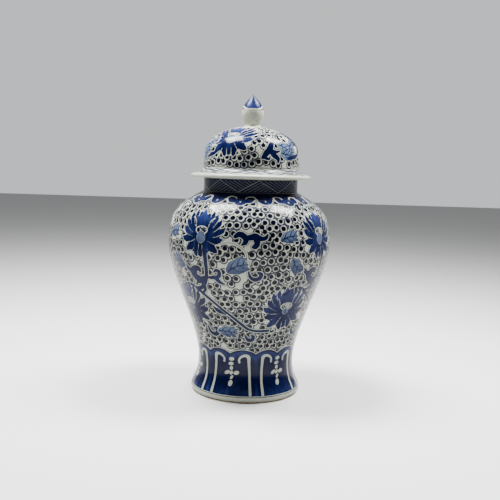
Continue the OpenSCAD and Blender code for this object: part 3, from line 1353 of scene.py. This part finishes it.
@dataclass(frozen=True)
class PaintedGlaze:
    """Cobalt painting under a clear gloss glaze, on porcelain, with bare clay where it was wiped."""

    name: str = "painted_porcelain"
    white: tuple = (0.345, 0.36, 0.30, 1.0)
    grey: tuple = (0.275, 0.29, 0.25, 1.0)
    navy: tuple = (0.0008, 0.0023, 0.021, 1.0)
    royal: tuple = (0.013, 0.021, 0.082, 1.0)
    black: tuple = (0.0002, 0.0004, 0.005, 1.0)
    # Grey-blue ink of the neck band: its own dark paint, dulled as painted shade of the brim.
    brim_shade_slate: tuple = (0.006, 0.009, 0.026, 1.0)
    wash_deep: tuple = (0.026, 0.038, 0.080, 1.0)
    wash_thin: tuple = (0.086, 0.120, 0.190, 1.0)
    line: tuple = (0.0010, 0.0026, 0.018, 1.0)
    dot: float = 2.85
    ring: float = 4.38
    ring_w: float = 0.74
    roughness: float = 0.2
    coat: float = 0.10

    def depths(self, n: Nodes) -> dict:
        """Depth inside each kind of mark, from what the piece carries and from the ink's own edge.

        Args:
            n: the material's nodes.

        Returns:
            The depths in mm by name, and the shade.
        """
        value = {name: n.new("ShaderNodeAttribute", attribute_name=name).outputs["Fac"]
                 for name in ("wash", "ink", "reserve", "line", "shade", "bare", "spawn", "eye")}
        solid = n.sum("MAXIMUM", n.sum("MAXIMUM", value["wash"], value["ink"]), value["reserve"])
        from_ring = n.sum("ABSOLUTE", n.sum("SUBTRACT", value["spawn"], self.ring))
        value["dot"] = n.sum("SUBTRACT", self.dot, value["eye"])
        value["ring"] = n.sum("SUBTRACT", self.ring_w, from_ring)
        value["edge"] = n.sum("SUBTRACT", 0.40, n.sum("ABSOLUTE", n.sum("ADD", value["ink"], 1.45)))
        value["rim"] = n.sum("SUBTRACT", 0.5, n.sum("ABSOLUTE", n.sum("SUBTRACT", value["wash"], 0.2)))
        value["clear"] = n.sum("SUBTRACT", -0.9, solid)
        return value

    def cobalt(self, n: Nodes, place: object, shade: object) -> tuple:
        """Colours of the wash and of the ink, thick and thin as the brush left them, with the ink turned
        slate where the shade is below 0 as painted shade of the brim.

        Args:
            n: the material's nodes.
            place: its coordinates.
            shade: how thin the paint was laid.

        Returns:
            The wash and the ink.
        """
        load = n.noise(place, 9.0, 4.0, 0.65, (1.0, 1.0, 0.45))
        strokes = n.noise(place, 2.6, 3.0, 0.6, (1.0, 1.0, 0.3))
        thin = n.sum("ADD", shade, n.sum("MULTIPLY", n.sum("SUBTRACT", load, 0.5), 0.9))
        thin = n.sum("ADD", thin, n.sum("MULTIPLY", n.sum("SUBTRACT", strokes, 0.5), 0.45), clamp=True)
        wash = n.mix(n.ramp(thin, 0.3, 1.0), self.wash_deep, self.wash_thin)
        ink = n.mix(n.ramp(thin, 0.0, 0.8), self.navy, self.royal)
        # Below a shade of -0.3 the ink turns to slate: painted shade of the brim over the neck.
        return wash, n.mix(n.ramp(shade, -1.0, -0.3, 1.0, 0.0), ink, self.brim_shade_slate)

    def build(self, kiln: Kiln) -> bpy.types.Material:
        """Makes the material.

        Args:
            kiln: the shared effects.

        Returns:
            The material.
        """
        material = bpy.data.materials.new(self.name)
        material.use_nodes = True
        material.node_tree.nodes.clear()
        n = Nodes(material.node_tree)
        place = n.new("ShaderNodeTexCoord").outputs["Object"]
        value = self.depths(n)
        mask = {name: kiln.masked(n, place, value[name], bleed, wobble) for name, bleed, wobble in (
            ("wash", 0.45, 0.9), ("ink", 0.32, 0.7), ("reserve", 0.30, 0.5), ("line", 0.30, 0.4),
            ("bare", 0.5, 1.2), ("dot", 0.38, 1.3), ("ring", 0.30, 0.55), ("edge", 0.25, 0.4),
            ("rim", 0.25, 0.4), ("clear", 0.3, 0.4))}
        fired = kiln.fired(n, place, 1.0, 0.35, 0.25)
        base = n.mix(n.ramp(fired.outputs["Pool"], 0.35, 0.7), self.white, self.grey)
        base = n.mix(fired.outputs["Speck"], base, IRON)
        wash, ink = self.cobalt(n, place, value["shade"])
        rings = n.sum("MULTIPLY", mask["ring"], mask["clear"])
        dots = n.sum("MULTIPLY", mask["dot"], mask["clear"])
        edges = n.sum("MULTIPLY", mask["edge"], mask["clear"])
        colour = n.mix(n.sum("MULTIPLY", n.sum("MAXIMUM", rings, edges), 0.97), base, self.line)
        colour = n.mix(dots, colour, self.black)
        colour = n.mix(mask["wash"], colour, wash)
        colour = n.mix(mask["ink"], colour, ink)
        # Where the shade is below 0 the white is dimmed to about a third: painted shade of the brim over the
        # neck.
        brim_shade_dim = n.ramp(value["shade"], -1.0, 0.0, 0.34, 1.0)
        colour = n.mix(n.sum("MULTIPLY", mask["reserve"], brim_shade_dim), colour, base)
        fine = n.sum("MAXIMUM", mask["line"], n.sum("MULTIPLY", mask["rim"], 0.8))
        colour = n.mix(n.sum("MULTIPLY", fine, 0.97), colour, self.line)
        colour = n.mix(mask["bare"], colour, kiln.wiped(n, place))
        height = n.sum("ADD", fired.outputs["Height"], n.sum("MULTIPLY", mask["ink"], -0.05))
        bump = n.new("ShaderNodeBump")
        bump.inputs["Strength"].default_value = 0.35
        bump.inputs["Distance"].default_value = 0.0004
        n.feed(bump.inputs["Height"], height)
        shader = n.new("ShaderNodeBsdfPrincipled")
        n.feed(shader.inputs["Base Color"], colour)
        n.feed(shader.inputs["Roughness"], n.ramp(mask["bare"], 0.0, 1.0, self.roughness, 0.85))
        n.feed(shader.inputs["Coat Weight"], n.ramp(mask["bare"], 0.0, 1.0, self.coat, 0.0))
        n.feed(shader.inputs["Normal"], bump.outputs["Normal"])
        shader.inputs["Coat Roughness"].default_value = 0.06
        shader.inputs["Specular IOR Level"].default_value = 0.055
        out = n.new("ShaderNodeOutputMaterial")
        n.feed(out.inputs["Surface"], shader.outputs["BSDF"])
        return material


@dataclass(frozen=True)
class PlainGlaze:
    """Clear glaze over white porcelain with nothing painted under it, and bare clay where it was wiped."""

    name: str = "plain_porcelain"
    white: tuple = (0.36, 0.38, 0.33, 1.0)
    pooled: tuple = (0.26, 0.29, 0.255, 1.0)

    def build(self, kiln: Kiln) -> bpy.types.Material:
        """Makes the material.

        Args:
            kiln: the shared effects.

        Returns:
            The material.
        """
        material = bpy.data.materials.new(self.name)
        material.use_nodes = True
        material.node_tree.nodes.clear()
        n = Nodes(material.node_tree)
        place = n.new("ShaderNodeTexCoord").outputs["Object"]
        depth = n.new("ShaderNodeAttribute", attribute_name="bare").outputs["Fac"]
        bare = kiln.masked(n, place, depth, 0.5, 1.2)
        fired = kiln.fired(n, place, 0.8, 0.5, 0.9)
        colour = n.mix(n.ramp(fired.outputs["Pool"], 0.35, 0.7), self.white, self.pooled)
        colour = n.mix(fired.outputs["Speck"], colour, IRON)
        bump = n.new("ShaderNodeBump")
        bump.inputs["Strength"].default_value = 0.4
        bump.inputs["Distance"].default_value = 0.0005
        n.feed(bump.inputs["Height"], fired.outputs["Height"])
        shader = n.new("ShaderNodeBsdfPrincipled")
        n.feed(shader.inputs["Base Color"], n.mix(bare, colour, kiln.wiped(n, place)))
        n.feed(shader.inputs["Roughness"], n.ramp(bare, 0.0, 1.0, 0.2, 0.85))
        n.feed(shader.inputs["Normal"], bump.outputs["Normal"])
        shader.inputs["Specular IOR Level"].default_value = 0.2
        out = n.new("ShaderNodeOutputMaterial")
        n.feed(out.inputs["Surface"], shader.outputs["BSDF"])
        return material


# ---------------------------------------------------------------- the jar and its lid

@dataclass
class Jar:
    """The jar: foot, two halves of the belly and the neck, on one painted canvas."""

    shape: JarShape
    columns: int = 640
    row_step: float = 1.35
    parts: list = field(default_factory=list)

    def painted(self, stretches: list) -> Canvas:
        """Paints the whole skin of the jar.

        Args:
            stretches: the outline's stretches, already spaced, from the foot up.

        Returns:
            The painted canvas.
        """
        canvas = Canvas(joined(*stretches), self.columns)
        Skirt().draw(canvas)
        for quarter in range(4):
            VineRepeat(quarter * 90.0, 11 + quarter * 7).draw(canvas)
        CloudCollar().draw(canvas)
        HatchedNeck().draw(canvas)
        FrogSpawn(78.0, 296.0, 9.6, 11.2, seed=5).draw(canvas)
        return canvas

    def build(self, material: bpy.types.Material) -> None:
        """Throws, paints and glazes the four sections.

        Args:
            material: the glaze.
        """
        s = self.shape
        skirt = joined(respaced(s.foot_edge(), 0.8), respaced(s.skirt(), 0.95))
        lower = respaced(s.lower_belly(), self.row_step)
        upper = respaced(s.shoulder(), 1.05)
        neck = respaced(s.neck(), 0.6)
        canvas = self.painted([skirt, lower, upper, neck])
        floor_z = s.recess + s.floor_t
        cove = 8.0
        lining = inset(respaced(s.skirt(), 3.0), s.wall)
        lining = lining[lining[:, 1] > floor_z + cove][::-1]
        inner_foot = s.rest_r - s.ring_w
        floor = np.array([(lining[-1, 0] - 1.2, floor_z + 5.0), (lining[-1, 0] - 4.0, floor_z + 2.0),
                          (lining[-1, 0] - 9.0, floor_z + 0.6), (lining[-1, 0] - 16.0, floor_z),
                          (30.0, floor_z - 0.7), (0.0, floor_z - 1.0)])
        underside = np.array([(0.0, s.recess + 2.0), (30.0, s.recess + 1.6), (inner_foot - 12, s.recess),
                              (inner_foot - 5, s.recess - 0.6), (inner_foot - 2, s.recess - 2.0),
                              (inner_foot - 0.6, s.recess - 5.0), (inner_foot, 0.6),
                              (inner_foot + 0.6, 0.0), (s.rest_r - s.ease, 0.0), (s.rest_r - 0.4, 0.4)])
        rest = joined(lining, floor, underside)
        skin_rows, ring_rows = len(skirt), 5
        bare_low = skin_rows + len(lining) + len(floor) + len(underside) - ring_rows
        self.add("jar_foot", skirt, rest, 0, canvas, material,
                 bare=((bare_low, skin_rows + len(rest)), (0, 1)))
        self.add("jar_lower_body", lower, inset(respaced(s.lower_belly(), 13.0), s.wall)[::-1],
                 len(skirt) - 1, canvas, material)
        self.add("jar_upper_body", upper, inset(respaced(s.shoulder(), 7.0), s.wall)[::-1],
                 len(skirt) + len(lower) - 2, canvas, material)
        bore = s.neck_r - s.wall
        rim = joined(cubic((s.neck_r, s.rim_z - s.ease), (s.neck_r, s.rim_z - 0.5), (s.neck_r - 0.6, s.rim_z),
                           (s.neck_r - s.ease, s.rim_z), 5)[1:],
                     np.array([(bore + s.ease, s.rim_z), (bore + 0.5, s.rim_z - 0.4),
                               (bore, s.rim_z - s.ease), (bore, s.neck_z + 8.0), (bore, s.neck_z)]))
        self.add("jar_neck", neck, rim, len(skirt) + len(lower) + len(upper) - 3, canvas, material,
                 bare=((len(neck) + 3, len(neck) + 7),))

    def add(self, name: str, skin: Grid, rest: Grid, first_row: int, canvas: Canvas,
            material: bpy.types.Material, bare: tuple = ()) -> None:
        """Makes one section of the jar.

        Args:
            name: its CAD node.
            skin: its outer outline, from the bottom up.
            rest: the rest of its outline, from the top down and back.
            first_row: the canvas row where its skin begins.
            canvas: the canvas of the jar.
            material: the glaze.
            bare: rows of the outline that have no glaze, as (first, last) pairs.
        """
        part = Thrown(name + "_glazed", "jar", name, "painted_porcelain", skin, rest, self.columns, bare)
        self.parts.append(part.make(canvas, first_row, material))


@dataclass
class Lid:
    """The lid: brim, dome, locating collar, stem and bud."""

    shape: LidShape
    columns: int = 560
    bud_columns: int = 200
    parts: list = field(default_factory=list)

    def build(self, painted: bpy.types.Material, plain: bpy.types.Material,
              satin: bpy.types.Material) -> None:
        """Throws, paints and glazes the five pieces of the lid.

        Args:
            painted: glaze of the brim and the dome.
            plain: glaze of the collar and the stem.
            satin: duller glaze of the bud.
        """
        s = self.shape
        brim, dome = respaced(s.brim_top(), 0.7), respaced(s.dome(), 1.0)
        canvas = Canvas(joined(brim, dome), self.columns)
        for third in range(3):
            LidRepeat(third * 120.0, 31 + third).draw(canvas)
        BrimClouds(s.dome_z).draw(canvas)
        FrogSpawn(s.dome_z + 6.5, s.stem_z - 1.2, 10.6, 10.6, seed=9).draw(canvas)
        inner = s.dome_r - s.wall
        under = np.array([(inner, s.dome_z), (inner, s.rim_z + 4.0), (inner, s.rim_z)])
        self.add("lid_brim", brim, under, 0, canvas, painted, self.columns,
                 bare=((len(brim) + len(under) - 2, len(brim) + len(under)),))
        lining = inset(respaced(s.dome(), 6.0), s.wall)
        lining[-1] = (0.0, s.stem_z - s.wall)
        over = np.array([(0.0, s.stem_z)])
        self.add("lid_dome", dome, joined(over, lining[::-1]), len(brim) - 1, canvas, painted, self.columns)
        self.add_plain(plain)
        bud = respaced(s.bud(), 0.5)
        bud_canvas = Canvas(bud, self.bud_columns)
        BudPetals(s.bud_z + 21.0).draw(bud_canvas)
        self.add("finial_bud", bud, np.array([(0.0, s.bud_z)]), 0, bud_canvas, satin, self.bud_columns)

    def add_plain(self, material: bpy.types.Material) -> None:
        """Makes the collar and the stem, which carry no painting.

        Args:
            material: their glaze.
        """
        s = self.shape
        outer, inner, low = s.collar_r, s.collar_r - s.collar_t, s.rim_z - s.collar_h
        skin = respaced(joined(cubic((outer - 2.5, low), (outer - 0.6, low), (outer, low + 0.6),
                                     (outer, low + 2.5), 8), np.array([(outer, s.rim_z)])), 1.0)
        rest = np.array([(inner, s.rim_z), (inner + 0.4, s.rim_z - 6), (inner + 1.0, low + 1.5),
                         (inner + 1.5, low + 0.5), (inner + 2.4, low)])
        self.add("lid_collar", skin, rest, 0, None, material, 300, slot="plain_porcelain",
                 bare=((len(skin) + 2, len(skin) + 5), (0, 4)))
        stem = respaced(s.stem(), 0.4)
        rest = np.array([(0.0, s.bud_z), (0.0, s.stem_z)])
        self.add("finial_stem", stem, rest, 0, None, material, 160, slot="plain_porcelain")

    def add(self, name: str, skin: Grid, rest: Grid, first_row: int, canvas: Canvas | None,
            material: bpy.types.Material, columns: int, bare: tuple = (),
            slot: str = "painted_porcelain") -> None:
        """Makes one piece of the lid.

        Args:
            name: its CAD node.
            skin: its outer outline.
            rest: the rest of its outline.
            first_row: the canvas row where its skin begins.
            canvas: its canvas, or None if it has no painting.
            material: the glaze.
            columns: how many points there are round it.
            bare: rows of the outline that have no glaze, as (first, last) pairs.
            slot: the name of its finish slot, kept on the section and not used.
        """
        part = Thrown(name + "_glazed", "lid", name, slot, skin, rest, columns, bare)
        self.parts.append(part.make(canvas, first_row, material))


# ---------------------------------------------------------------- studio

@dataclass(frozen=True)
class Studio:
    """Pale floor, soft light and the camera."""

    distance: float = 1.133
    eye: float = 0.352
    aside: float = 0.0019
    pitch: float = 6.68
    roll: float = 1.74
    lens: float = 52.75
    lamps: tuple = (("key_left", (-0.42, 0.06, 1.25), 0.44, 80.0),
                    ("key_right", (0.50, 0.08, 1.22), 0.38, 62.0),
                    ("front", (0.0, -1.6, 1.8), 1.4, 3.0))

    def camera(self) -> None:
        """Sets the camera at the viewing angle, a little above the brim and looking slightly down."""
        data = bpy.data.cameras.new("camera")
        data.lens = self.lens
        data.sensor_width = 36.0
        camera = bpy.data.objects.new("camera", data)
        bpy.context.scene.collection.objects.link(camera)
        tip, roll = math.radians(self.pitch), math.radians(self.roll)
        ahead = Vector((0, math.cos(tip), -math.sin(tip)))
        right, up = Vector((1, 0, 0)), Vector((0, math.sin(tip), math.cos(tip)))
        side = right * math.cos(roll) + up * math.sin(roll)
        top = up * math.cos(roll) - right * math.sin(roll)
        turn = Matrix((side, top, -ahead)).transposed().to_4x4()
        camera.matrix_world = Matrix.Translation((self.aside, -self.distance, self.eye)) @ turn
        bpy.context.scene.camera = camera

    def light(self, name: str, place: tuple, size: float, power: float) -> None:
        """Hangs one square softbox that faces the jar.

        Args:
            name: the lamp's name.
            place: where it hangs, in metres.
            size: the length of its sides in metres.
            power: its power in watts.
        """
        data = bpy.data.lights.new(name, "AREA")
        data.shape = "SQUARE"
        data.size = size
        data.energy = power
        lamp = bpy.data.objects.new(name, data)
        bpy.context.scene.collection.objects.link(lamp)
        lamp.location = place
        lamp.rotation_euler = (Vector((0, 0, 0.22)) - Vector(place)).to_track_quat("-Z", "Y").to_euler()

    def build(self) -> None:
        """Sets the floor, the lights and the camera."""
        bpy.ops.object.select_all(action="DESELECT")
        bpy.ops.mesh.primitive_plane_add(size=12.0, location=(0, 0, 0))
        floor = bpy.context.view_layer.objects.active
        floor.name = "studio_floor"
        paper = bpy.data.materials.new("pale_paper")
        paper.use_nodes = True
        shader = paper.node_tree.nodes["Principled BSDF"]
        shader.inputs["Base Color"].default_value = (0.54, 0.54, 0.535, 1.0)
        shader.inputs["Roughness"].default_value = 0.9
        floor.data.materials.append(paper)
        world = bpy.data.worlds.new("studio")
        bpy.context.scene.world = world
        world.use_nodes = True
        sky = world.node_tree.nodes["Background"]
        sky.inputs["Color"].default_value = (0.96, 0.98, 1.0, 1.0)
        n = Nodes(world.node_tree)
        ahead = n.new("ShaderNodeSeparateXYZ")
        n.feed(ahead.inputs[0], n.new("ShaderNodeTexCoord").outputs["Generated"])
        n.feed(sky.inputs["Strength"], n.ramp(ahead.outputs["Y"], -0.4, 0.9, 0.145, 0.74))
        for name, place, size, power in self.lamps:
            self.light(name, place, size, power)
        self.camera()


def main() -> None:
    """Builds the jar, the lid and the studio in order."""
    logging.basicConfig(level=logging.INFO, format="%(name)s: %(message)s")
    foot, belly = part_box("jar_foot"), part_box("jar_lower_body")
    neck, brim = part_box("jar_neck"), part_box("lid_brim")
    stem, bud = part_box("finial_stem"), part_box("finial_bud")
    kiln = Kiln()
    painted = PaintedGlaze().build(kiln)
    satin = PaintedGlaze("painted_bud", roughness=0.30, coat=0.02).build(kiln)
    jar = Jar(JarShape(foot_top=foot[1][2] / MM, belly_z=belly[1][2] / MM,
                       neck_z=neck[0][2] / MM, rim_z=neck[1][2] / MM))
    jar.build(painted)
    lid = Lid(LidShape(rim_z=brim[0][2] / MM, dome_z=brim[1][2] / MM, stem_z=stem[0][2] / MM,
                       bud_z=bud[0][2] / MM, tip_z=bud[1][2] / MM))
    lid.build(painted, PlainGlaze().build(kiln), satin)
    Studio().build()
    log.info("%d pieces built", len(jar.parts) + len(lid.parts))
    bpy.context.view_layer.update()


if __name__ == "__main__":
    main()
